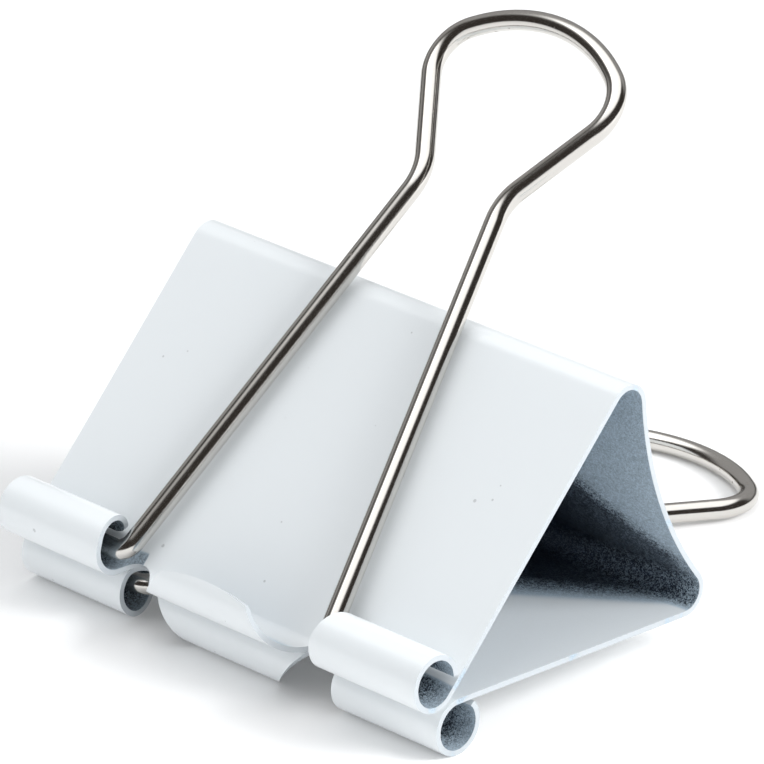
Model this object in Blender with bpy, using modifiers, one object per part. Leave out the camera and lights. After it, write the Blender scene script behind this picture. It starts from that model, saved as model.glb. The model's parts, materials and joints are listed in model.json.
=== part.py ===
"""A large binder clip, 51 mm wide, lying on its side with both wire handles folded back.

The spring is one strip of sheet steel in the real clip: a bowed spine, two cheeks, and at
each jaw edge a tongue and two rolled tubes. Here it is two half shells that meet at the
middle of the spine, so that the jaws can open. Each wire handle has its two ends in the
tubes of one jaw and swings about them.

The clip is drawn in its own section frame: x along the jaws, y from the jaws to the spine,
z across the mouth. An empty then tilts it as it lies on a table.
"""
import math

import bmesh
import bpy
from mathutils import Vector

MM = 0.001

# --- Spring strip ---------------------------------------------------------------------
CLIP_WIDTH = 51.0 * MM          # length of the jaws
SHEET = 0.5 * MM                # thickness of the spring steel
CHEEK_ANGLE = math.radians(24.5)    # between a cheek and the plane of the closed mouth
SPINE_DEPTH = 27.75 * MM        # jaw edge to the middle of the spine, at half the sheet
SPINE_BOW_RADIUS = 35.0 * MM    # the spine is hollow towards the mouth
FOLD_RADIUS = 1.95 * MM         # between cheek and spine, at half the sheet
UPPER_LEAD = 0.7 * MM           # the upper jaw edge stands this far ahead of the lower
SPLIT_GAP = 0.3 * MM            # between the two half shells, and between the closed jaws

# --- Rolled jaw edge, measured along the flat strip from where the roll begins ---------
TUBE_RADIUS = 2.62 * MM         # outside of a rolled tube
ROLL_TURN = math.radians(300.0)     # a tube's turn, which stops short of the cheek
TAB_INNER = 13.0 * MM           # middle of the jaw to a tube's inner end
TAB_STRAIGHT = 7.0 * MM         # past this, the tube's inner end runs back
TAB_RUN_BACK = 1.4 * MM         # and ends this much further out
NOTCH_BOTTOM = 0.3 * MM         # the notch that a wire leg passes through begins here
TONGUE_HALF_TIP = 5.1 * MM
TONGUE_LENGTH = 6.75 * MM       # to the corners of its tip
TONGUE_TIP_BOW = 0.55 * MM      # the tip's middle stands this much further out

# --- Wire handles, drawn flat: p across, q from the pivot line to the loop --------------
WIRE_RADIUS = 0.925 * MM
PIVOT_BEND_INSIDE = 0.675 * MM  # radius on the inner side of the bend at the tube
NECK_HALF = 4.74 * MM           # where the lines of leg and loop meet
NECK_DISTANCE = 41.3 * MM
NECK_BEND_RADIUS = 5.0 * MM
LOOP_FLARE = math.radians(30.4)
LOOP_SIDE = 9.86 * MM
LOOP_CORNER_RADIUS = 4.07 * MM
LOOP_TOP_RADIUS = 14.9 * MM

# --- Where the wire fits the strip --------------------------------------------------------
PIN_SHORT = 5.0 * MM            # the wire ends this far inside the outer end of its tube
PIN_GAP = 0.695 * MM            # between the wire and the bore, on the mouth's side
FOOT_OUT = 0.225 * MM           # a leg leans, and its line starts this much further out
NOTCH_PLAY = 0.775 * MM         # round a leg in the round bottom of its notch
LEG_FOLD_GAP = 0.296 * MM       # between a folded leg and the fold that it passes over

PIN_REACH = CLIP_WIDTH / 2 - PIN_SHORT
PIVOT_INSET = TUBE_RADIUS - SHEET - WIRE_RADIUS - PIN_GAP   # from the tube's centre
LEG_FOOT = TAB_INNER - WIRE_RADIUS + FOOT_OUT   # where a leg's line meets the pivot line
NOTCH_RADIUS = WIRE_RADIUS + NOTCH_PLAY
PIVOT_BEND_RADIUS = WIRE_RADIUS + PIVOT_BEND_INSIDE

# --- Fineness of the round stretches ----------------------------------------------------
SPINE_STEPS = 4
FOLD_STEPS = 12
ROLL_STEPS = 26
NOTCH_STEPS = 10
TIP_STEPS = 6
WIRE_SIDES_RESOLUTION = 2       # half a ring's side count, less two


# ----------------------------------------------------------------------------------------
# Helpers
# ----------------------------------------------------------------------------------------
def clear_scene():
    for obj in list(bpy.data.objects):
        bpy.data.objects.remove(obj, do_unlink=True)


def make_material(name, color, roughness, metallic):
    material = bpy.data.materials.new(name)
    material.use_nodes = True
    shader = material.node_tree.nodes["Principled BSDF"]
    shader.inputs["Base Color"].default_value = (*color, 1.0)
    shader.inputs["Roughness"].default_value = roughness
    shader.inputs["Metallic"].default_value = metallic
    return material


def arc(centre, radius, start, end, steps):
    """Points on an arc in a plane, both ends included; the angles are in radians."""
    points = []
    for i in range(steps + 1):
        angle = start + (end - start) * i / steps
        points.append(centre + radius * Vector((math.cos(angle), math.sin(angle))))
    return points


def fillet(before, corner, after, radius, steps):
    """Points of the arc that rounds the corner of two straight runs."""
    to_before = (before - corner).normalized()
    to_after = (after - corner).normalized()
    half = to_before.angle(to_after) / 2
    centre = corner + (to_before + to_after).normalized() * radius / math.sin(half)
    first = corner + to_before * radius / math.tan(half) - centre
    last = corner + to_after * radius / math.tan(half) - centre
    start = math.atan2(first.y, first.x)
    turn = first.angle_signed(last)
    return arc(centre, radius, start, start - turn, steps)


# ----------------------------------------------------------------------------------------
# The strip's section: one jaw, from the middle of the spine to the end of the roll
# ----------------------------------------------------------------------------------------
class Section:
    """Bend rows of one jaw, drawn for the lower one: y to the spine, z away from the mouth.

    Each row is its distance along the flat strip and its place at half the sheet.
    """

    def __init__(self, lead):
        middle_radius = TUBE_RADIUS - SHEET / 2
        along = Vector((math.cos(CHEEK_ANGLE), math.sin(CHEEK_ANGLE)))
        inward = Vector((math.sin(CHEEK_ANGLE), -math.cos(CHEEK_ANGLE)))

        self.tube_centre = Vector((-lead, SPLIT_GAP / 2 + TUBE_RADIUS))
        roll_start = self.tube_centre + inward * middle_radius
        self.spine_centre = Vector((SPINE_DEPTH + SPINE_BOW_RADIUS, 0.0))

        # The fold touches the cheek's line and the spine's arc.
        base = roll_start + inward * FOLD_RADIUS
        reach = SPINE_BOW_RADIUS + FOLD_RADIUS
        offset = base - self.spine_centre
        half_b = offset.dot(along)
        cheek_length = -half_b - math.sqrt(half_b ** 2 - offset.length_squared + reach ** 2)
        self.fold_centre = base + along * cheek_length

        to_fold = self.fold_centre - self.spine_centre
        spine_end = math.atan2(to_fold.y, to_fold.x)
        spine_start = math.pi - math.asin(SPLIT_GAP / 2 / SPINE_BOW_RADIUS)
        fold_start = spine_end - math.pi
        fold_end = math.pi / 2 + CHEEK_ANGLE
        roll_from = CHEEK_ANGLE - math.pi / 2
        roll_to = roll_from - ROLL_TURN

        spine = arc(self.spine_centre, SPINE_BOW_RADIUS, spine_start, spine_end, SPINE_STEPS)
        fold = arc(self.fold_centre, FOLD_RADIUS, fold_start, fold_end, FOLD_STEPS)
        roll = arc(self.tube_centre, middle_radius, roll_from, roll_to, ROLL_STEPS)
        spine_length = SPINE_BOW_RADIUS * (spine_start - spine_end)
        fold_length = FOLD_RADIUS * (fold_end - fold_start)
        roll_length = middle_radius * ROLL_TURN

        self.cheek_end = spine_length + fold_length + cheek_length
        self.strip_end = self.cheek_end + roll_length
        self.rows = []
        for i, place in enumerate(spine):
            self.rows.append((spine_length * i / SPINE_STEPS, place))
        for i, place in enumerate(fold[1:], start=1):
            self.rows.append((spine_length + fold_length * i / FOLD_STEPS, place))
        for i, place in enumerate(roll):
            self.rows.append((self.cheek_end + roll_length * i / ROLL_STEPS, place))

    def bent(self, distance):
        """Place in the section of a point of the flat strip."""
        for (s0, p0), (s1, p1) in zip(self.rows, self.rows[1:]):
            if distance <= s1:
                break
        return p0.lerp(p1, (distance - s0) / (s1 - s0))

    def pivot(self):
        """Centre of the wire in the tube, towards the mouth from the tube's own."""
        return self.tube_centre + Vector((0.0, -PIVOT_INSET))

    def folded_angle(self):
        """Angle to the mouth of a leg that just clears the fold it passes over."""
        to_fold = self.fold_centre - self.pivot()
        clear = FOLD_RADIUS + SHEET / 2 + LEG_FOLD_GAP + WIRE_RADIUS
        return math.atan2(to_fold.y, to_fold.x) + math.asin(clear / to_fold.length)


def strip_outline(section):
    """Right half of one jaw's flat strip: x across the jaw, then distance along the strip."""
    half = CLIP_WIDTH / 2
    roll = section.cheek_end
    tip = Vector((TONGUE_HALF_TIP, roll + TONGUE_LENGTH))
    notch = Vector((TAB_INNER - NOTCH_RADIUS, roll + NOTCH_BOTTOM + NOTCH_RADIUS))

    # The tongue's side is the straight line from its tip that touches the notch.
    to_notch = notch - tip
    side = math.atan2(to_notch.y, to_notch.x) - math.asin(NOTCH_RADIUS / to_notch.length)
    touch = side - math.pi / 2

    tip_radius = (TONGUE_HALF_TIP ** 2 + TONGUE_TIP_BOW ** 2) / (2 * TONGUE_TIP_BOW)
    tip_centre = Vector((0.0, tip.y + TONGUE_TIP_BOW - tip_radius))
    tip_angle = math.asin(TONGUE_HALF_TIP / tip_radius)

    points = [Vector((0.0, 0.0)), Vector((half, 0.0)), Vector((half, section.strip_end))]
    points.append(Vector((TAB_INNER + TAB_RUN_BACK, section.strip_end)))
    points.append(Vector((TAB_INNER, roll + TAB_STRAIGHT)))
    points += arc(notch, NOTCH_RADIUS, 0.0, touch, NOTCH_STEPS)
    points += arc(tip_centre, tip_radius, math.pi / 2 - tip_angle, math.pi / 2, TIP_STEPS)
    return points


def make_jaw(name, section, side, material, collection):
    """One half of the spring. side is -1 for the lower jaw and +1 for the upper."""
    bm = bmesh.new()
    verts = [bm.verts.new((p.x, p.y, 0.0)) for p in strip_outline(section)]
    edges = [bm.edges.new(pair) for pair in zip(verts, verts[1:] + verts[:1])]
    bmesh.ops.contextual_create(bm, geom=edges)
    bmesh.ops.triangulate(bm, faces=bm.faces[:])

    # Crease the flat strip along every bend row.
    for distance, _ in section.rows[1:-1]:
        bmesh.ops.bisect_plane(
            bm, geom=bm.verts[:] + bm.edges[:] + bm.faces[:], dist=1e-7,
            plane_co=(0.0, distance, 0.0), plane_no=(0.0, 1.0, 0.0))

    # The left half is the right half's mirror image.
    bmesh.ops.mirror(bm, geom=bm.verts[:] + bm.edges[:] + bm.faces[:], axis="X",
                     merge_dist=1e-6)

    # Bend it.
    for vert in bm.verts:
        place = section.bent(vert.co.y)
        vert.co = Vector((vert.co.x, place.x, side * place.y))
    bmesh.ops.recalc_face_normals(bm, faces=bm.faces[:])

    mesh = bpy.data.meshes.new(name)
    bm.to_mesh(mesh)
    bm.free()
    mesh.materials.append(material)
    obj = bpy.data.objects.new(name, mesh)
    collection.objects.link(obj)
    wall = obj.modifiers.new("Sheet", "SOLIDIFY")
    wall.thickness = SHEET
    wall.offset = 0.0
    wall.use_even_offset = True
    return obj


# ----------------------------------------------------------------------------------------
# The wire handles
# ----------------------------------------------------------------------------------------
def handle_path():
    """Centre line of a handle in its own plane, from one wire end to the other."""
    pin_end = Vector((PIN_REACH, 0.0))
    foot = Vector((LEG_FOOT, 0.0))
    neck = Vector((NECK_HALF, NECK_DISTANCE))
    flare = Vector((math.sin(LOOP_FLARE), math.cos(LOOP_FLARE)))
    side_end = neck + flare * LOOP_SIDE
    corner_centre = side_end + Vector((-flare.y, flare.x)) * LOOP_CORNER_RADIUS
    fall = math.sqrt((LOOP_TOP_RADIUS - LOOP_CORNER_RADIUS) ** 2 - corner_centre.x ** 2)
    top_centre = Vector((0.0, corner_centre.y - fall))
    top_angle = math.atan2(fall, corner_centre.x)

    half = [pin_end]
    half += fillet(pin_end, foot, neck, PIVOT_BEND_RADIUS, 6)
    half += fillet(foot, neck, side_end, NECK_BEND_RADIUS, 5)
    half += arc(corner_centre, LOOP_CORNER_RADIUS, -LOOP_FLARE, top_angle, 8)
    half += arc(top_centre, LOOP_TOP_RADIUS, top_angle, math.pi / 2, 4)[1:]
    mirrored = [Vector((-p.x, p.y)) for p in reversed(half[:-1])]
    return half + mirrored


def make_handle(name, section, side, material, collection):
    """A bent wire on its pivot line. side is -1 for the lower handle and +1 for the upper."""
    curve = bpy.data.curves.new(name, "CURVE")
    curve.dimensions = "3D"
    curve.bevel_depth = WIRE_RADIUS
    curve.bevel_resolution = WIRE_SIDES_RESOLUTION
    curve.use_fill_caps = True
    path = handle_path()
    spline = curve.splines.new("POLY")
    spline.points.add(len(path) - 1)
    for point, place in zip(spline.points, path):
        point.co = (place.x, place.y, 0.0, 1.0)
    curve.materials.append(material)
    obj = bpy.data.objects.new(name, curve)
    collection.objects.link(obj)
    pivot = section.pivot()
    obj.location = (0.0, pivot.x, side * pivot.y)
    obj.rotation_euler.x = side * section.folded_angle()
    return obj


# ----------------------------------------------------------------------------------------
# The whole clip
# ----------------------------------------------------------------------------------------
def rest_tilt(section):
    """Angle at which the lower tubes and the end of the lower loop touch the table."""
    reach = max(point.y for point in handle_path())
    lean = section.folded_angle()
    pivot = section.pivot()
    tube = section.tube_centre
    across = pivot.x + reach * math.cos(lean) - tube.x
    down = pivot.y + reach * math.sin(lean) - tube.y
    lift = TUBE_RADIUS - WIRE_RADIUS
    return math.atan2(down, across) - math.asin(lift / math.hypot(across, down))


def lowest_and_highest(objects):
    """World box of the objects as they are evaluated."""
    bpy.context.view_layer.update()
    graph = bpy.context.evaluated_depsgraph_get()
    points = []
    for obj in objects:
        evaluated = obj.evaluated_get(graph)
        mesh = evaluated.to_mesh()
        points += [evaluated.matrix_world @ vert.co for vert in mesh.vertices]
        evaluated.to_mesh_clear()
    low = Vector([min(p[i] for p in points) for i in range(3)])
    high = Vector([max(p[i] for p in points) for i in range(3)])
    return low, high


def main():
    clear_scene()
    collection = bpy.data.collections.new("binder_clip")
    bpy.context.scene.collection.children.link(collection)
    paint = make_material("white_paint", (0.80, 0.83, 0.84), 0.35, 0.0)
    nickel = make_material("nickel_wire", (0.72, 0.70, 0.67), 0.12, 1.0)

    lower = Section(0.0)
    upper = Section(UPPER_LEAD)
    parts = [
        make_jaw("lower_jaw", lower, -1, paint, collection),
        make_jaw("upper_jaw", upper, 1, paint, collection),
        make_handle("lower_handle", lower, -1, nickel, collection),
        make_handle("upper_handle", upper, 1, nickel, collection),
    ]

    frame = bpy.data.objects.new("clip_frame", None)
    collection.objects.link(frame)
    for part in parts:
        part.parent = frame
    frame.rotation_euler.x = rest_tilt(lower)

    # The origin is under the middle of the clip's box, on the table.
    low, high = lowest_and_highest(parts)
    middle = (low + high) / 2
    frame.location = (-middle.x, -middle.y, -low.z)
    print("tilt", round(math.degrees(frame.rotation_euler.x), 3), "degrees")
    print("size", [round((h - l) / MM, 2) for h, l in zip(high, low)], "mm")


main()
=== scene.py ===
# %% [markdown]
# # A large binder clip in Blender
#
# The clip is three real pieces: one strip of painted spring steel, folded into a prism whose
# edges are rolled into tubes, and two plated wire handles whose ends sit in those tubes.
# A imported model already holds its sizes, its joints and how it lies on the table. This script
# loads that model as a fixed frame and makes the surfaces that are looked at around it.

# %% Load the frame
import json
import math

import bmesh
import bpy
from mathutils import Matrix, Vector


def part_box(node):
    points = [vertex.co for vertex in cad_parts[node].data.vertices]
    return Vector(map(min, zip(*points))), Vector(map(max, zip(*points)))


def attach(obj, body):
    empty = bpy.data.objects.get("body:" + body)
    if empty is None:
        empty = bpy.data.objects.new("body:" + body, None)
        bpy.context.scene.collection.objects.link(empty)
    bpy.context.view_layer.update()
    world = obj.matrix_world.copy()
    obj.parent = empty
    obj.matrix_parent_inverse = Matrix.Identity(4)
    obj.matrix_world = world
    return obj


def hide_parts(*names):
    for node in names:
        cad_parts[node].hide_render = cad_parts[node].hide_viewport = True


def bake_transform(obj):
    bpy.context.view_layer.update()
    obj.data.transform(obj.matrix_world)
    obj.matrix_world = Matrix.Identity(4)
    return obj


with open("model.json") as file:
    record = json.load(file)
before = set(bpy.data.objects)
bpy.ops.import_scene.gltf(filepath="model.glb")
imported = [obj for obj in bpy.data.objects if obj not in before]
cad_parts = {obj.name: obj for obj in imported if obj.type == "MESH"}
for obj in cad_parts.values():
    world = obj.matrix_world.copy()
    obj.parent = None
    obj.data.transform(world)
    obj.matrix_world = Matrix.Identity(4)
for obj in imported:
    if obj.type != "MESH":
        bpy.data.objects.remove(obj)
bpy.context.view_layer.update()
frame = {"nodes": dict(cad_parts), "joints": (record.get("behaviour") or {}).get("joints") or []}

print("nodes:", sorted(frame["nodes"]))

# %% [markdown]
# ## The clip's own axes
#
# The clip lies tilted on the table, but it is far easier to draw square to its own mouth.
# The three joints tell how it lies: the wire pivots are above and below the mouth's plane at
# equal distances, and the jaw hinge is in that plane, at the back of the spine. So the line
# from halfway between the pivots to the hinge runs straight into the clip.

# %% Section frame
MM = 0.001
joints = {joint["name"]: Vector(joint["pos_m"]) for joint in frame["joints"]}
LOWER_PIVOT = joints["lower_handle_swing"]
UPPER_PIVOT = joints["upper_handle_swing"]
HINGE = joints["jaw_open"]

pivot_middle = (LOWER_PIVOT + UPPER_PIVOT) / 2
inwards = (HINGE - pivot_middle).normalized()
TILT = math.atan2(inwards.z, inwards.y)
UPPER_LEAD = (LOWER_PIVOT - UPPER_PIVOT).dot(inwards)
MOUTH = pivot_middle + inwards * UPPER_LEAD / 2
SECTION = Matrix.Translation(MOUTH) @ Matrix.Rotation(TILT, 4, "X")
print("tilt", round(math.degrees(TILT), 2), "degrees, lead", round(UPPER_LEAD / MM, 2), "mm")

# %% [markdown]
# ## The strip's sizes
#
# These are the sizes that a press tool would be made to: the sheet, the radii of its bends,
# and the outline of the flat strip at its rolled edge. The hinge is on the outside of the
# spine, so the spine's depth is read from the frame, and so is the width.

# %% Strip sizes
HALF_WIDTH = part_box("lower_jaw")[1][0]
SHEET = 0.5 * MM
CHEEK_ANGLE = math.radians(24.5)
SPINE_BOW_RADIUS = 35.0 * MM
FOLD_RADIUS = 1.95 * MM
TUBE_RADIUS = 2.62 * MM
MOUTH_GAP = 0.3 * MM
SPINE_DEPTH = (HINGE - MOUTH).length - SHEET / 2

ROLL_TURN = math.radians(316.0)
TAB_INNER = 13.0 * MM
TAB_STRAIGHT = 6.6 * MM
TAB_RUN_BACK = 1.5 * MM
TAB_CORNER = 0.9 * MM
NOTCH_RADIUS = 1.7 * MM
NOTCH_BOTTOM = 0.3 * MM
TONGUE_HALF_TIP = 5.1 * MM
TONGUE_LENGTH = 6.75 * MM
TONGUE_TIP_BOW = 0.55 * MM
EDGE_ROUNDING = 0.09 * MM
EDGE_ANGLE = math.radians(50.0)
WELD = 0.001 * MM
print("spine depth", round(SPINE_DEPTH / MM, 2), "mm")

# %% [markdown]
# ## From flat strip to bent section
#
# A press bends a flat strip without stretching it. The script does the same: a point of the
# flat strip has a distance from the middle of the spine, and that distance says how far round
# the section the point lies. The section is three arcs and a straight line, so its place comes
# from a formula, and no list of points is needed.

# %% Bent section
def on_circle(centre, radius, angle):
    return centre + radius * Vector((math.cos(angle), math.sin(angle)))


class Section:
    """One jaw's bent middle line: y into the clip and z away from the mouth."""

    def __init__(self, lead):
        along = Vector((math.cos(CHEEK_ANGLE), math.sin(CHEEK_ANGLE)))
        inward = Vector((math.sin(CHEEK_ANGLE), -math.cos(CHEEK_ANGLE)))
        self.roll_radius = TUBE_RADIUS - SHEET / 2
        self.tube = Vector((-lead, MOUTH_GAP / 2 + TUBE_RADIUS))
        self.spine = Vector((SPINE_DEPTH + SPINE_BOW_RADIUS, 0.0))
        self.along = along

        # The fold touches both the cheek's line and the spine's arc.
        base = self.tube + inward * (self.roll_radius + FOLD_RADIUS)
        offset = base - self.spine
        reach = SPINE_BOW_RADIUS + FOLD_RADIUS
        half_b = offset.dot(along)
        cheek = -half_b - math.sqrt(half_b ** 2 - offset.length_squared + reach ** 2)
        self.fold = base + along * cheek

        to_fold = self.fold - self.spine
        spine_turn = math.pi - math.atan2(to_fold.y, to_fold.x)
        self.fold_from = -spine_turn
        fold_turn = math.pi / 2 + CHEEK_ANGLE - self.fold_from
        self.spine_end = spine_turn * SPINE_BOW_RADIUS
        self.fold_end = self.spine_end + fold_turn * FOLD_RADIUS
        self.cheek_end = self.fold_end + cheek
        self.strip_end = self.cheek_end + ROLL_TURN * self.roll_radius

    def place(self, distance):
        if distance < self.spine_end:
            return on_circle(self.spine, SPINE_BOW_RADIUS,
                             math.pi - distance / SPINE_BOW_RADIUS)
        if distance < self.fold_end:
            return on_circle(self.fold, FOLD_RADIUS,
                             self.fold_from + (distance - self.spine_end) / FOLD_RADIUS)
        if distance < self.cheek_end:
            top = on_circle(self.fold, FOLD_RADIUS, math.pi / 2 + CHEEK_ANGLE)
            return top - self.along * (distance - self.fold_end)
        return on_circle(self.tube, self.roll_radius,
                         CHEEK_ANGLE - math.pi / 2
                         - (distance - self.cheek_end) / self.roll_radius)


LOWER = Section(0.0)
UPPER = Section(UPPER_LEAD)
print("spine middle to rolled edge:", round(LOWER.strip_end / MM, 1), "mm of strip")

# %% [markdown]
# ## The rolled edge, laid flat
#
# Before it is rolled, the strip's edge has a tongue in the middle, a round-bottomed notch on
# each side of it where a wire leg passes through, and beyond each notch a tab that becomes a
# tube. The tongue's side is the straight line from its tip that touches the notch.

# %% Outline of the rolled edge
NOTCH = Vector((TAB_INNER - NOTCH_RADIUS, NOTCH_BOTTOM + NOTCH_RADIUS))
TIP = Vector((TONGUE_HALF_TIP, TONGUE_LENGTH))
to_notch = NOTCH - TIP
side_angle = math.atan2(to_notch.y, to_notch.x) - math.asin(NOTCH_RADIUS / to_notch.length)
TOUCH = on_circle(NOTCH, NOTCH_RADIUS, side_angle - math.pi / 2)


def notch_half_gap(rolled):
    """Half the notch's width at a distance past the start of the roll."""
    height = min(max(NOTCH.y - rolled, 0.0), NOTCH_RADIUS)
    return math.sqrt(NOTCH_RADIUS ** 2 - height ** 2)


def tongue_edge(rolled):
    if rolled < TOUCH.y:
        return NOTCH.x - notch_half_gap(rolled)
    share = (rolled - TOUCH.y) / (TIP.y - TOUCH.y)
    return TOUCH.x + (TIP.x - TOUCH.x) * share


def tab_edge(rolled, end):
    edge = NOTCH.x + notch_half_gap(rolled)
    if rolled > TAB_STRAIGHT:
        edge += TAB_RUN_BACK * (rolled - TAB_STRAIGHT) / (end - TAB_STRAIGHT)
    into_corner = max(0.0, TAB_CORNER - (end - rolled))
    return edge + TAB_CORNER - math.sqrt(TAB_CORNER ** 2 - into_corner ** 2)


print("tongue's root is", round(2 * TOUCH.x / MM, 1), "mm wide")

# %% [markdown]
# ## Rows and columns
#
# A regular grid is the whole flat strip. Its rows lie across the bends, closer together where
# the bend is tighter, so that every face stays a clean four-sided one. Where the notch begins,
# one column line is slit open, and the two sides of the slit move apart to the edge of the
# tongue and the end of the tube.

# %% Half of one jaw, flat
SPINE_ROWS = 10
FOLD_ROWS = 20
CHEEK_ROWS = 14
NOTCH_ROWS = 10
ROLL_ROWS = 44
TONGUE_COLUMNS = 12
TAB_COLUMNS = 12


def spread(start, end, count):
    """count values after start, evenly spaced, the last of them at end."""
    return [start + (end - start) * (i + 1) / count for i in range(count)]


def strip_rows(section):
    """Distances of the grid's rows, and the number of the row at the notch's bottom."""
    notch_start = section.cheek_end + NOTCH_BOTTOM
    rows = [0.0]
    rows += spread(0.0, section.spine_end, SPINE_ROWS)
    rows += spread(section.spine_end, section.fold_end, FOLD_ROWS)
    rows += spread(section.fold_end, notch_start, CHEEK_ROWS)
    notch = len(rows) - 1
    for turn in spread(0.0, math.pi / 2, NOTCH_ROWS):
        rows.append(notch_start + NOTCH_RADIUS * (1 - math.cos(turn)))
    rows += spread(rows[-1], section.strip_end, ROLL_ROWS)
    return rows, notch


def flat_half(section):
    """The right half of one jaw: x across the jaws, y along the strip from the spine."""
    rows, notch = strip_rows(section)
    rolled = [row - section.cheek_end for row in rows]
    tip = min(i for i, distance in enumerate(rolled) if distance >= TONGUE_LENGTH)
    columns = TONGUE_COLUMNS + TAB_COLUMNS

    bm = bmesh.new()
    bmesh.ops.create_grid(bm, x_segments=columns, y_segments=len(rows) - 1, size=0.5)
    for vert in bm.verts:
        vert.co.x = round((vert.co.x + 0.5) * columns)
        vert.co.y = round((vert.co.y + 0.5) * (len(rows) - 1))

    slit = [edge for edge in bm.edges
            if all(v.co.x == TONGUE_COLUMNS and v.co.y >= notch for v in edge.verts)]
    bmesh.ops.split_edges(bm, edges=slit)
    past_tip = [face for face in bm.faces
                if face.calc_center_median().x < TONGUE_COLUMNS
                and face.calc_center_median().y > tip]
    bmesh.ops.delete(bm, geom=past_tip, context="FACES")

    stretch = (TONGUE_LENGTH - NOTCH_BOTTOM) / (rolled[tip] - NOTCH_BOTTOM)
    places = []
    for vert in bm.verts:
        column, row = vert.co.x, int(vert.co.y)
        faces_x = [face.calc_center_median().x for face in vert.link_faces]
        on_tongue = row > notch and min(faces_x) < TONGUE_COLUMNS
        distance = rolled[row]
        edge = NOTCH.x
        if on_tongue:
            distance = NOTCH_BOTTOM + (distance - NOTCH_BOTTOM) * stretch
            edge = tongue_edge(distance)
        elif row > notch:
            edge = tab_edge(distance, rolled[-1])
        if column <= TONGUE_COLUMNS:
            across = edge * column / TONGUE_COLUMNS
        else:
            across = edge + (HALF_WIDTH - edge) * (column - TONGUE_COLUMNS) / TAB_COLUMNS
        if on_tongue:
            share = (distance - NOTCH_BOTTOM) / (TONGUE_LENGTH - NOTCH_BOTTOM)
            distance += TONGUE_TIP_BOW * share ** 2 * (1 - (across / edge) ** 2)
        places.append((vert, Vector((across, section.cheek_end + distance, 0.0))))
    for vert, place in places:
        vert.co = place
    return bm


half_strip = flat_half(LOWER)
print("half of a jaw's strip:", len(half_strip.faces), "faces")
half_strip.free()

# %% [markdown]
# ## Fold the strip
#
# Each half is mirrored to a whole jaw, bent, and joined to the other jaw along the middle of
# the spine. Every vertex keeps its place on the flat strip, in millimetres, in an attribute
# called flat, because the paint is drawn from it. Then the sheet gets its thickness. A sheared
# edge is never sharp under paint, so a narrow bevel rounds it.

# %% The whole strip
def bent_strip():
    whole = bpy.data.meshes.new("strip")
    bm = bmesh.new()
    for section, side in ((LOWER, -1), (UPPER, 1)):
        half = flat_half(section)
        bmesh.ops.mirror(half, geom=half.verts[:] + half.edges[:] + half.faces[:],
                         axis="X", merge_dist=WELD)
        flat = half.verts.layers.float_vector.new("flat")
        for vert in half.verts:
            vert[flat] = Vector((vert.co.x, side * vert.co.y, 0.0)) / MM
            place = section.place(vert.co.y)
            vert.co = SECTION @ Vector((vert.co.x, place.x, side * place.y))
        half.to_mesh(whole)
        half.free()
        bm.from_mesh(whole)
    bmesh.ops.remove_doubles(bm, verts=bm.verts, dist=WELD)
    bmesh.ops.recalc_face_normals(bm, faces=bm.faces)
    bm.normal_update()

    # The sheet's outer face is the one that looks away from inside the clip.
    inside = SECTION @ Vector((0.0, SPINE_DEPTH * 0.7, 0.0))
    flat = bm.verts.layers.float_vector["flat"]
    spine_face = min(bm.faces, key=lambda face: face.verts[0][flat].length)
    if (spine_face.calc_center_median() - inside).dot(spine_face.normal) < 0:
        bmesh.ops.reverse_faces(bm, faces=bm.faces)
    for face in bm.faces:
        face.smooth = True
    bm.to_mesh(whole)
    bm.free()
    return whole


def applied(mesh, name, modifiers):
    """A copy of a mesh with modifiers applied, each given as its type and settings."""
    carrier = bpy.data.objects.new(name, mesh)
    bpy.context.scene.collection.objects.link(carrier)
    for kind, settings in modifiers:
        modifier = carrier.modifiers.new(kind, kind)
        for key, value in settings.items():
            setattr(modifier, key, value)
    graph = bpy.context.evaluated_depsgraph_get()
    result = bpy.data.meshes.new_from_object(carrier.evaluated_get(graph))
    bpy.data.objects.remove(carrier)
    return result


# The sheet's three kinds of face each have a material slot, in this order.
FACE_KINDS = ("outer face", "inner face", "cut edge")
INNER_FACE = FACE_KINDS.index("inner face")
CUT_EDGE = FACE_KINDS.index("cut edge")

strip = bent_strip()
for kind in FACE_KINDS:
    strip.materials.append(bpy.data.materials.new(kind))
sheet = applied(strip, "sheet", [
    ("SOLIDIFY", {"thickness": SHEET, "offset": 0.0, "use_even_offset": True,
                  "material_offset": INNER_FACE, "material_offset_rim": CUT_EDGE}),
    ("BEVEL", {"width": EDGE_ROUNDING, "segments": 3, "limit_method": "ANGLE",
               "angle_limit": EDGE_ANGLE, "harden_normals": True, "material": CUT_EDGE}),
])
print("sheet:", len(sheet.polygons), "faces")

# %% [markdown]
# ## Cut for the hinge
#
# The real spring bends over its whole length when the jaws open. Here the two jaws turn about
# the middle of the spine, and the spine between them is a fixed piece of its own, attached to
# neither jaw. So the strip is parted across its flat cheeks, just past each fold, where a joint
# line doesn't show: the sheet is flat on both sides of it and nothing there moves against
# anything else.

# %% Three lengths of one strip
CUT_PAST_FOLD = 1
PAST_ROLLED_EDGE = 100.0


def cut_distance(section):
    rows, _ = strip_rows(section)
    return rows[SPINE_ROWS + FOLD_ROWS + CUT_PAST_FOLD] / MM


def length_of_strip(name, first, last):
    """The part of the sheet between two distances along the flat strip, in millimetres."""
    bm = bmesh.new()
    bm.from_mesh(sheet)
    flat = bm.verts.layers.float_vector["flat"]
    outside = []
    for face in bm.faces:
        middle = sum(vert[flat].y for vert in face.verts) / len(face.verts)
        if not first < middle < last:
            outside.append(face)
    bmesh.ops.delete(bm, geom=outside, context="FACES")
    mesh = bpy.data.meshes.new(name)
    bm.to_mesh(mesh)
    bm.free()
    obj = bpy.data.objects.new(name, mesh)
    bpy.context.scene.collection.objects.link(obj)
    print(name, len(mesh.polygons), "faces")
    return obj


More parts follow.
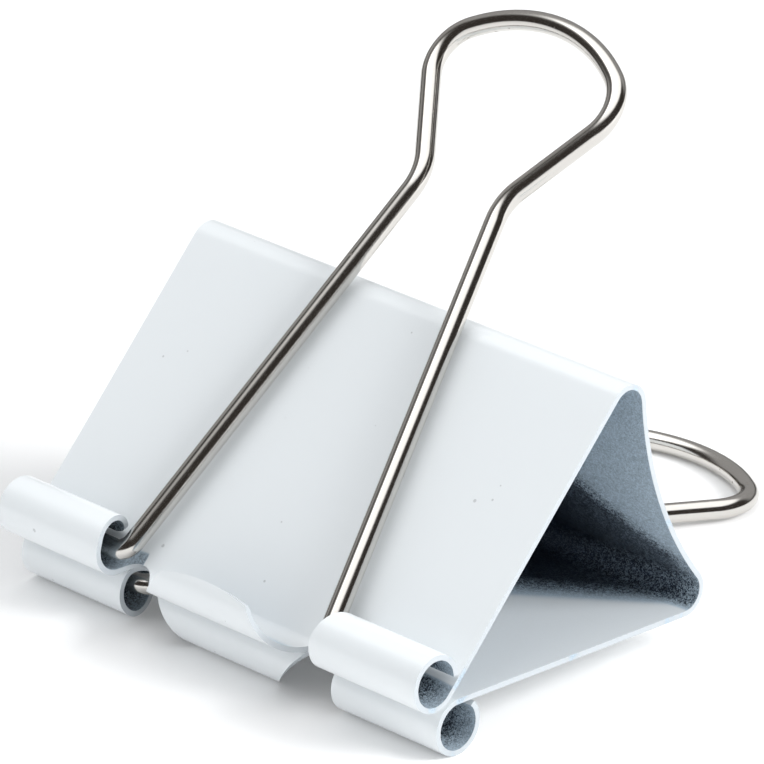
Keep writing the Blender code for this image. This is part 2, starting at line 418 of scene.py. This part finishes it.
lower_cut = -cut_distance(LOWER)
upper_cut = cut_distance(UPPER)
spring_lower = length_of_strip("spring_lower_cheek", -PAST_ROLLED_EDGE, lower_cut)
spring_spine = length_of_strip("spring_spine", lower_cut, upper_cut)
spring_upper = length_of_strip("spring_upper_cheek", upper_cut, PAST_ROLLED_EDGE)

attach(spring_lower, "lower_jaw")
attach(spring_upper, "upper_jaw")
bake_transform(spring_spine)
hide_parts("lower_jaw")
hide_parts("upper_jaw")

# %% [markdown]
# ## The wire handles
#
# A wire former pushes straight wire past a set of pins and turns it round each one. The script
# works the same way. A ring of vertices is pushed along for a straight length and spun about
# a pin for a bend, from one end of the wire to the top of its loop. The other half is its
# mirror image. Each vertex keeps its direction round the wire and its distance along it in an
# attribute called drawn, for the fine lines that a drawing die leaves.

# %% Wire sizes
WIRE_RADIUS = 0.925 * MM
PIN_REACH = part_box("lower_handle")[1][0]
LEG_FOOT = TAB_INNER - WIRE_RADIUS + 0.225 * MM
LEG_FOLD_GAP = 0.296 * MM
PIVOT_BEND_RADIUS = WIRE_RADIUS + 0.675 * MM
NECK_HALF = 4.74 * MM
NECK_DISTANCE = 41.3 * MM
NECK_BEND_RADIUS = 5.0 * MM
LOOP_FLARE = math.radians(30.4)
LOOP_SIDE = 9.86 * MM
LOOP_CORNER_RADIUS = 4.07 * MM
LOOP_TOP_RADIUS = 14.9 * MM
END_ROUNDING = 0.25 * MM

# How finely each length and bend is divided, from the wire's end to the loop's top.
WIRE_SIDES = 32
END_STEPS = 4
PIN_STEPS = 6
FOOT_STEPS = 18
LEG_STEPS = 24
NECK_STEPS = 16
SIDE_STEPS = 6
CORNER_STEPS = 28
TOP_STEPS = 16


# %% Wire former
class WireFormer:
    """Round wire in the plane of x and y, from a squared end with a rounded rim."""

    def __init__(self, end, heading):
        self.bm = bmesh.new()
        self.drawn = self.bm.verts.layers.float_vector.new("drawn")
        self.here = end.to_3d()
        self.heading = heading
        self.run = 0.0
        facing = Matrix.Rotation(math.pi / 2, 4, "Y")
        turned = Matrix.Rotation(heading, 4, "Z") @ facing
        ring = bmesh.ops.create_circle(
            self.bm, cap_ends=True, segments=WIRE_SIDES, radius=WIRE_RADIUS - END_ROUNDING,
            matrix=Matrix.Translation(self.here) @ turned)
        self.ring = ring["verts"]
        for vert in self.ring:
            out = turned.inverted() @ (vert.co - self.here)
            vert[self.drawn] = out.normalized()
        for turn in spread(0.0, math.pi / 2, END_STEPS):
            radius = WIRE_RADIUS - END_ROUNDING * (1 - math.sin(turn))
            forward = END_ROUNDING * (1 - math.cos(turn)) - self.run
            self.push(forward)
            for vert in self.ring:
                vert.co = self.here + (vert.co - self.here).normalized() * radius

    def direction(self):
        return Vector((math.cos(self.heading), math.sin(self.heading), 0.0))

    def edges(self):
        ring = set(self.ring)
        return [edge for edge in {e for v in self.ring for e in v.link_edges}
                if all(v in ring for v in edge.verts)]

    def follow(self, verts, length):
        self.ring = verts
        self.run += length
        for vert in verts:
            vert[self.drawn] = Vector((*vert[self.drawn][:2], self.run / MM))

    def push(self, length):
        new = bmesh.ops.extrude_edge_only(self.bm, edges=self.edges())["geom"]
        verts = [item for item in new if isinstance(item, bmesh.types.BMVert)]
        bmesh.ops.translate(self.bm, verts=verts, vec=self.direction() * length)
        self.here += self.direction() * length
        self.follow(verts, length)

    def feed(self, length, steps):
        """Push a straight length in equal steps."""
        for _ in range(steps):
            self.push(length / steps)

    def bend(self, radius, turn, steps):
        """Turn round a pin; a positive turn is to the left."""
        side = math.copysign(1.0, turn)
        left = Vector((-self.direction().y, self.direction().x, 0.0))
        pin = self.here + left * side * radius
        for _ in range(steps):
            new = bmesh.ops.spin(
                self.bm, geom=self.ring + self.edges(), cent=pin, axis=(0.0, 0.0, 1.0),
                angle=turn / steps, steps=1)["geom_last"]
            verts = [item for item in new if isinstance(item, bmesh.types.BMVert)]
            self.follow(verts, radius * abs(turn) / steps)
        self.here = pin + Matrix.Rotation(turn, 3, "Z") @ (self.here - pin)
        self.heading += turn


print("wire", round(2 * WIRE_RADIUS / MM, 2), "mm thick")

# %% One handle, flat
def flat_handle():
    """The wire in its own plane: x along the pivot, y from the pivot to the loop."""
    leg = Vector((NECK_HALF - LEG_FOOT, NECK_DISTANCE))
    leg_heading = math.atan2(leg.y, leg.x)
    foot_turn = leg_heading - math.pi
    flare_heading = math.pi / 2 - LOOP_FLARE
    neck_turn = flare_heading - leg_heading
    foot_tangent = PIVOT_BEND_RADIUS * math.tan(-foot_turn / 2)
    neck_tangent = NECK_BEND_RADIUS * math.tan(-neck_turn / 2)

    flare = Vector((math.cos(flare_heading), math.sin(flare_heading)))
    corner = Vector((NECK_HALF, NECK_DISTANCE)) + flare * LOOP_SIDE
    corner += Vector((-flare.y, flare.x)) * LOOP_CORNER_RADIUS
    between = LOOP_TOP_RADIUS - LOOP_CORNER_RADIUS
    top_share = math.asin(corner.x / between)

    former = WireFormer(Vector((PIN_REACH, 0.0)), math.pi)
    former.feed(PIN_REACH - LEG_FOOT - foot_tangent - former.run, PIN_STEPS)
    former.bend(PIVOT_BEND_RADIUS, foot_turn, FOOT_STEPS)
    former.feed(leg.length - foot_tangent - neck_tangent, LEG_STEPS)
    former.bend(NECK_BEND_RADIUS, neck_turn, NECK_STEPS)
    former.feed(LOOP_SIDE - neck_tangent, SIDE_STEPS)
    former.bend(LOOP_CORNER_RADIUS, math.pi / 2 + LOOP_FLARE - top_share, CORNER_STEPS)
    former.bend(LOOP_TOP_RADIUS, top_share, TOP_STEPS)

    bm = former.bm
    for vert in former.ring:
        vert.co.x = 0.0
    bmesh.ops.mirror(bm, geom=bm.verts[:] + bm.edges[:] + bm.faces[:], axis="X",
                     merge_dist=WELD)
    bmesh.ops.recalc_face_normals(bm, faces=bm.faces)
    for face in bm.faces:
        face.smooth = len(face.verts) == 4
    return bm


def folded_angle(section, pivot):
    """Angle to the mouth of a leg that just clears the fold it passes over."""
    local = SECTION.inverted() @ pivot
    to_fold = section.fold - Vector((local.y, abs(local.z)))
    clear = FOLD_RADIUS + SHEET / 2 + LEG_FOLD_GAP + WIRE_RADIUS
    return math.atan2(to_fold.y, to_fold.x) + math.asin(clear / to_fold.length)


def make_handle(name, section, pivot, side):
    bm = flat_handle()
    lean = Matrix.Rotation(TILT + side * folded_angle(section, pivot), 4, "X")
    bmesh.ops.transform(bm, verts=bm.verts, matrix=Matrix.Translation(pivot) @ lean)
    mesh = bpy.data.meshes.new(name)
    bm.to_mesh(mesh)
    bm.free()
    obj = bpy.data.objects.new(name, mesh)
    bpy.context.scene.collection.objects.link(obj)
    print(name, len(mesh.polygons), "faces")
    return obj


wire_lower = make_handle("wire_lower", LOWER, LOWER_PIVOT, -1)
wire_upper = make_handle("wire_upper", UPPER, UPPER_PIVOT, 1)
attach(wire_lower, "lower_handle")
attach(wire_upper, "upper_handle")
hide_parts("lower_handle")
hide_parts("upper_handle")

# %% [markdown]
# ## Shader arithmetic
#
# A finish is easier to read as sums than as a web of nodes. A Shade is one socket of a
# material, and adding or multiplying it adds the math node that does so.

# %% Shade
def add_node(tree, kind, settings=None, inputs=None):
    """Any node, with its settings, and its inputs given as values or as Shades."""
    node = tree.nodes.new(kind)
    for name, value in (settings or {}).items():
        setattr(node, name, value)
    for name, value in (inputs or {}).items():
        socket = node.inputs[name]
        if isinstance(value, Shade):
            tree.links.new(value.socket, socket)
        else:
            socket.default_value = value
    return node


class Shade:
    def __init__(self, socket):
        self.socket = socket
        self.tree = socket.id_data

    def math(self, operation, *values, clamp=False):
        settings = {"operation": operation, "use_clamp": clamp}
        return Shade(add_node(self.tree, "ShaderNodeMath", settings,
                              dict(enumerate(values))).outputs[0])

    def __add__(self, other):
        return self.math("ADD", self, other)

    def __sub__(self, other):
        return self.math("SUBTRACT", self, other)

    def __mul__(self, other):
        return self.math("MULTIPLY", self, other)

    def __rsub__(self, other):
        return self.math("SUBTRACT", other, self)

    __radd__ = __add__
    __rmul__ = __mul__

    def abs(self):
        return self.math("ABSOLUTE", self)

    def most(self, other):
        return self.math("MAXIMUM", self, other)

    def least(self, other):
        return self.math("MINIMUM", self, other)

    def clamped(self):
        return self.math("ADD", self, 0.0, clamp=True)

    def step(self, low, high):
        """0 below low and 1 above high, and smooth between; high may be the lower one."""
        node = add_node(self.tree, "ShaderNodeMapRange", {"interpolation_type": "SMOOTHSTEP"},
                        {"Value": self, "From Min": low, "From Max": high})
        return Shade(node.outputs["Result"])

    def mix(self, low, high):
        """low where this is 0 and high where it is 1; both are colours or both numbers."""
        kind = "RGBA" if isinstance(low, tuple) or getattr(low, "is_colour", False) else "FLOAT"
        node = add_node(self.tree, "ShaderNodeMix", {"data_type": kind})
        first = {"RGBA": 6, "FLOAT": 2}[kind]
        for index, value in ((0, self), (first, low), (first + 1, high)):
            if isinstance(value, Shade):
                self.tree.links.new(value.socket, node.inputs[index])
            else:
                node.inputs[index].default_value = value
        result = Shade(node.outputs[2 if kind == "RGBA" else 0])
        result.is_colour = kind == "RGBA"
        return result


# A speck's radius and soft rim, as shares of the cell that holds it.
SMALLEST_SPECK = 0.08
SPECK_SPREAD = 0.3
SPECK_SOFTNESS = 0.08


class Finish:
    """A material with a Principled shader and the textures that read its surface."""

    def __init__(self, name):
        self.material = bpy.data.materials.new(name)
        self.material.use_nodes = True
        self.tree = self.material.node_tree
        self.shader = self.tree.nodes["Principled BSDF"]

    def attribute(self, name):
        node = add_node(self.tree, "ShaderNodeAttribute", {"attribute_name": name})
        return Shade(node.outputs["Vector"])

    def parts(self, vector):
        node = add_node(self.tree, "ShaderNodeSeparateXYZ", None, {"Vector": vector})
        return [Shade(output) for output in node.outputs]

    def position(self):
        """Place on the object, in millimetres."""
        node = add_node(self.tree, "ShaderNodeTexCoord")
        return self.scaled(Shade(node.outputs["Object"]), (1 / MM, 1 / MM, 1 / MM))

    def scaled(self, vector, scale):
        node = add_node(self.tree, "ShaderNodeVectorMath", {"operation": "MULTIPLY"},
                        {0: vector, 1: scale})
        return Shade(node.outputs["Vector"])

    def noise(self, vector, size, detail=2.0, roughness=0.5):
        """Noise from about 0 to 1 whose features are about size millimetres."""
        node = add_node(self.tree, "ShaderNodeTexNoise", None,
                        {"Vector": vector, "Scale": 1.0 / size, "Detail": detail,
                         "Roughness": roughness})
        return Shade(node.outputs["Fac"])

    def cells(self, vector, size):
        """A value from 0 to 1 that is a different one in each cell of about size mm."""
        node = add_node(self.tree, "ShaderNodeTexVoronoi", None,
                        {"Vector": vector, "Scale": 1.0 / size})
        return self.parts(Shade(node.outputs["Color"]))[0]

    def specks(self, vector, size, share):
        """1 on scattered round specks; share is the part of the cells that hold one."""
        cells = add_node(self.tree, "ShaderNodeTexVoronoi", None,
                         {"Vector": vector, "Scale": 1.0 / size})
        pick = self.parts(Shade(cells.outputs["Color"]))
        radius = pick[1] * SPECK_SPREAD + SMALLEST_SPECK
        chosen = pick[0].math("LESS_THAN", pick[0], share)
        return (radius - Shade(cells.outputs["Distance"])).step(0.0, SPECK_SOFTNESS) * chosen

    def bump(self, height, depth):
        """A bump of the given depth in millimetres."""
        node = add_node(self.tree, "ShaderNodeBump", None,
                        {"Height": height, "Distance": depth * MM, "Strength": 1.0})
        self.tree.links.new(node.outputs["Normal"], self.shader.inputs["Normal"])

    def set(self, **inputs):
        for name, value in inputs.items():
            socket = self.shader.inputs[name.replace("_", " ")]
            if isinstance(value, Shade):
                self.tree.links.new(value.socket, socket)
            else:
                socket.default_value = value


print("shader helpers ready")

# %% [markdown]
# ## Sprayed paint over blue steel
#
# The spring is hardened and blued, then sprayed white from outside when it is already folded.
# So the outside is evenly covered, and what the spray can't reach is not: the inside of the
# prism and the bores of the tubes stay dark, with a mist of fine white droplets near each open
# end. Both faces of the sheet use one recipe, and only the map of how much paint landed
# differs. That map is read from the flat strip.

# %% Paint recipe
PAINT = (0.80, 0.835, 0.855, 1.0)
# Cut edges: darker than the faces, partly thin paint over the sheared steel and partly painted
# shade that tones down the strong light from the right on the rims.
EDGE_PAINT_THIN_AND_SHADED = (0.50, 0.54, 0.57, 1.0)
THIN_PAINT = (0.54, 0.65, 0.74, 1.0)
BLUED_STEEL = (0.014, 0.020, 0.036, 1.0)
SPECK = (0.30, 0.31, 0.32, 1.0)

# Sizes on the surface in millimetres, and strengths from 0 to 1.
FINE_DROPLET, COARSE_DROPLET = 0.10, 0.22
FINE_SHARE = 0.75
GRAIN_STRENGTH = 1.3
PATCH_SIZE, PATCH_STRENGTH = 2.5, 0.2
CLOSED_FILM = (0.8, 0.97)
GRIT_SIZE, GRIT_SHARE, GRIT_STRENGTH = 0.55, 0.008, 0.45
PEEL_SIZE, DUST_SIZE = 0.9, 0.12
STEEL_ROUGHNESS, MIST_ROUGHNESS, FILM_ROUGHNESS = 0.33, 0.62, 0.30
COAT, COAT_ROUGHNESS = 0.25, 0.12
PAINT_RELIEF = 0.012


def painted_steel(name, cover_of, film_colour=PAINT):
    finish = Finish(name)
    place = finish.position()
    across, along, _ = finish.parts(finish.attribute("flat"))
    cover = cover_of(finish, place, across, along)

    # Droplets: where less paint landed, they stand apart instead of running into a film.
    fine = finish.cells(place, FINE_DROPLET)
    coarse = finish.cells(place, COARSE_DROPLET)
    grain = (fine * FINE_SHARE + coarse * (1.0 - FINE_SHARE) - 0.5) * GRAIN_STRENGTH
    patches = (finish.noise(place, PATCH_SIZE, detail=3.0) - 0.5) * PATCH_STRENGTH
    # cover * bare * bare is at most 4/27, where a third is covered, so this is at most 1.
    bare = 1.0 - cover
    apart = cover * bare * bare * 6.75
    painted = (cover + (grain + patches) * apart).clamped()
    full = cover.step(*CLOSED_FILM)

    film = full.mix(THIN_PAINT, film_colour)
    grit = finish.specks(place, GRIT_SIZE, GRIT_SHARE) * full
    film = (grit * GRIT_STRENGTH).mix(film, SPECK)

    peel = finish.noise(place, PEEL_SIZE, detail=1.0)
    dust = finish.noise(place, DUST_SIZE)
    steel_roughness = STEEL_ROUGHNESS + dust * 0.12
    paint_roughness = (MIST_ROUGHNESS - full * (MIST_ROUGHNESS - FILM_ROUGHNESS)
                       + (peel - 0.5) * 0.06)
    finish.set(
        Base_Color=painted.mix(BLUED_STEEL, film),
        Roughness=painted.mix(steel_roughness, paint_roughness),
        Metallic=painted.mix(0.4, 0.0),
        Coat_Weight=full * painted * COAT,
        Coat_Roughness=COAT_ROUGHNESS)
    finish.bump(peel * full * 0.35 + painted * (1.0 - full) * 0.5, PAINT_RELIEF)
    return finish.material


print("droplets", FINE_DROPLET, "to", COARSE_DROPLET, "mm")


# %% Where the paint landed
ROLL_START = LOWER.cheek_end / MM
FOLD_END = LOWER.fold_end / MM
TAB_START = NOTCH.x / MM

# The mist in a tube's bore: how far in it reaches, in millimetres, and how thick it lies.
BORE_MIST_REACH = 5.0
BORE_MIST, BORE_DUST = 0.62, 0.12

# The mist inside the prism, on the spine and folds and on the lower cheek.
SPINE_MIST, FLOOR_MIST = 0.72, 0.95
DUST_INSIDE, LEAST_DUST = 0.12, 0.02

# Paint rubbed off the cut edges.
RUB_SIZE, RUB_STRENGTH = 3.0, 0.22


def from_sheet_end(across):
    return HALF_WIDTH / MM - across.abs()


def outer_cover(finish, place, across, along):
    """Outer face: all painted, but past the start of the roll it is the tube's bore."""
    rolled = along.abs() - ROLL_START
    to_end = from_sheet_end(across).least((across.abs() - TAB_INNER / MM).abs())
    mist = to_end.step(BORE_MIST_REACH, -0.5) * BORE_MIST + BORE_DUST
    in_bore = rolled.step(0.2, 0.9) * across.abs().step(TAB_START - 0.1, TAB_START + 0.1)
    under_curl = rolled.step(2.5, 6.5)
    return in_bore.mix(1.0 - under_curl * 0.45, mist)


def inner_cover(finish, place, across, along):
    """Inner face: the tube's outside is painted, and the inside of the prism is misted."""
    past_mouth = along.abs().step(ROLL_START - 0.2, ROLL_START + 0.4)
    from_end = from_sheet_end(across)

    # The mist reaches further in along the upper fold than along the lower.
    reach = ((along + 8.6) * 1.4).most(0.8)
    on_spine = (from_end - reach).step(3.6, -3.0) * SPINE_MIST

    # On the lower cheek it reaches further in towards the mouth.
    past_fold = -1.0 * along - FOLD_END
    floor_reach = past_fold * 1.15 + 4.2
    on_floor = (from_end - floor_reach).step(5.5, -3.5) * FLOOR_MIST
    on_floor = on_floor * past_fold.step(-2.4, 0.2)

    dust = from_end.step(18.0, 2.0) * DUST_INSIDE + LEAST_DUST
    return on_spine.most(on_floor).most(dust).most(past_mouth)


def edge_cover(finish, place, across, along):
    """Cut edges: painted, and rubbed thin in places."""
    return 1.0 - finish.noise(place, RUB_SIZE).step(0.6, 0.72) * RUB_STRENGTH


outer_material = painted_steel("white paint on blue steel, outside", outer_cover)
inner_material = painted_steel("white mist on blue steel, inside", inner_cover)
# The cut edges take the darker edge colour: thin paint, and painted shade on the lit rims.
edge_material = painted_steel("thin white paint and painted shade on cut edges", edge_cover, EDGE_PAINT_THIN_AND_SHADED)
for obj in (spring_lower, spring_spine, spring_upper):
    for material in (outer_material, inner_material, edge_material):
        obj.data.materials.append(material)

# %% [markdown]
# ## Nickel on drawn wire
#
# The handles are bright nickel over drawn steel wire. The die leaves very fine lines along the
# wire, the plating softens them, and handling adds a few pits.

# %% Nickel
NICKEL = (0.64, 0.62, 0.59, 1.0)
PIT = (0.36, 0.33, 0.30, 1.0)

# The marks are stretched along the wire: close together round it and long along it.
MARKS_ROUND, MARKS_ALONG = 6.0, 0.12
HAZE_SIZE = 5.0
PIT_SIZE, PIT_SHARE = 0.5, 0.02
POLISH = 0.10
WIRE_RELIEF = 0.006


def nickel_wire():
    finish = Finish("bright nickel wire")
    place = finish.position()
    lines = finish.scaled(finish.attribute("drawn"), (MARKS_ROUND, MARKS_ROUND, MARKS_ALONG))
    draw_marks = finish.noise(lines, 1.0, detail=4.0, roughness=0.6)
    haze = finish.noise(place, HAZE_SIZE)
    pits = finish.specks(place, PIT_SIZE, PIT_SHARE)
    finish.set(
        Base_Color=pits.mix(NICKEL, PIT),
        Roughness=POLISH + draw_marks * 0.07 + haze * 0.05 + pits * 0.3,
        Metallic=1.0)
    finish.bump(draw_marks * 0.3 - pits, WIRE_RELIEF)
    return finish.material


nickel = nickel_wire()
for obj in (wire_lower, wire_upper):
    obj.data.materials.append(nickel)
print("finishes:", outer_material.name, "|", inner_material.name, "|", nickel.name)

# %% [markdown]
# ## Table, light and camera
#
# The clip lies on a plain white table in a white room. A polished wire shows nothing but what
# it reflects, so reflections see another room: a bright ceiling over dark walls, one of which
# is a little lighter. The ceiling makes the white streak along the wire, the walls make the
# dark band beside it, and the table makes the pale underside.

# %% Table
TABLE_HALF = 3.0
TABLE_PAINT = (0.93, 0.93, 0.93, 1.0)
TABLE_GLOW = 0.05
WHITE = (1.0, 1.0, 1.0, 1.0)


def make_table():
    bm = bmesh.new()
    bmesh.ops.create_grid(bm, x_segments=1, y_segments=1, size=TABLE_HALF)
    mesh = bpy.data.meshes.new("table")
    bm.to_mesh(mesh)
    bm.free()
    table = bpy.data.objects.new("table", mesh)
    bpy.context.scene.collection.objects.link(table)
    finish = Finish("white table")
    finish.set(Base_Color=TABLE_PAINT, Roughness=0.8, Emission_Color=WHITE,
               Emission_Strength=TABLE_GLOW)
    mesh.materials.append(finish.material)


make_table()

# %% Room
SOFT_FILL = (0.54, 0.55, 0.56, 1.0)
DARK_ROOM = (0.040, 0.034, 0.030, 1.0)
BRIGHT_CEILING = (1.6, 1.6, 1.6, 1.0)
WALL_LIGHT = 0.22


def make_room():
    world = bpy.data.worlds.new("white room")
    world.use_nodes = True
    tree = world.node_tree
    tree.nodes.clear()
    direction = Shade(add_node(tree, "ShaderNodeTexCoord").outputs["Generated"])
    x, y, z = [Shade(output) for output in add_node(
        tree, "ShaderNodeSeparateXYZ", None, {"Vector": direction}).outputs]
    ceiling = z.step(0.70, 0.80)
    lighter_wall = (y * 0.7 - x * 0.7).step(0.15, 0.45) * z.step(0.10, 0.25)
    mirrored = ceiling.most(lighter_wall * WALL_LIGHT).mix(DARK_ROOM, BRIGHT_CEILING)
    path = add_node(tree, "ShaderNodeLightPath")
    colour = Shade(path.outputs["Is Glossy Ray"]).mix(SOFT_FILL, mirrored)
    colour = Shade(path.outputs["Is Camera Ray"]).mix(colour, WHITE)
    colour.is_colour = True
    background = add_node(tree, "ShaderNodeBackground", None,
                          {"Color": colour, "Strength": 1.0})
    output = add_node(tree, "ShaderNodeOutputWorld")
    tree.links.new(background.outputs["Background"], output.inputs["Surface"])
    bpy.context.scene.world = world


make_room()
print("room:", bpy.context.scene.world.name)

# %% Softboxes
TABLE_MIDDLE = (0.0, 0.0, 0.0)
CLIP_MIDDLE = (0.0, 0.0, 0.02)
SPRING_MIDDLE = (0.02, 0.0, 0.01)


def make_softbox(name, place, target, size, power, mirrored=False):
    """A lamp from a place towards a target, in metres and watts."""
    light = bpy.data.lights.new(name, "AREA")
    light.shape = "RECTANGLE"
    light.size, light.size_y = size
    light.energy = power
    obj = bpy.data.objects.new(name, light)
    bpy.context.scene.collection.objects.link(obj)
    obj.location = place
    obj.visible_glossy = mirrored
    obj.rotation_euler = (Vector(target) - Vector(place)).to_track_quat("-Z", "Y").to_euler()


make_softbox("ceiling softbox", (-0.15, -0.1, 0.9), TABLE_MIDDLE, (0.7, 0.7), 2.6, True)
make_softbox("left softbox", (-0.5, -0.6, 0.35), CLIP_MIDDLE, (0.5, 0.5), 0.5)
make_softbox("right high softbox", (0.62, 0.27, 0.46), SPRING_MIDDLE, (0.4, 0.4), 6.0)
make_softbox("right low softbox", (0.7, -0.42, 0.12), SPRING_MIDDLE, (0.4, 0.2), 0.7)
print("lit by", len(bpy.data.lights), "softboxes")

# %% Camera
EYE = Vector((430.2, -445.5, 293.8)) * MM
VIEW = Vector((-0.642, 0.650, -0.407))
LENS = 364.7
SENSOR = 36.0


def make_camera():
    camera = bpy.data.cameras.new("camera")
    camera.lens = LENS
    camera.sensor_width = SENSOR
    camera.clip_start = 0.01
    obj = bpy.data.objects.new("camera", camera)
    bpy.context.scene.collection.objects.link(obj)
    obj.location = EYE
    obj.rotation_euler = VIEW.to_track_quat("-Z", "Y").to_euler()
    bpy.context.scene.camera = obj


make_camera()
bpy.context.scene.view_settings.view_transform = "Standard"
print("camera", [round(c, 3) for c in EYE])
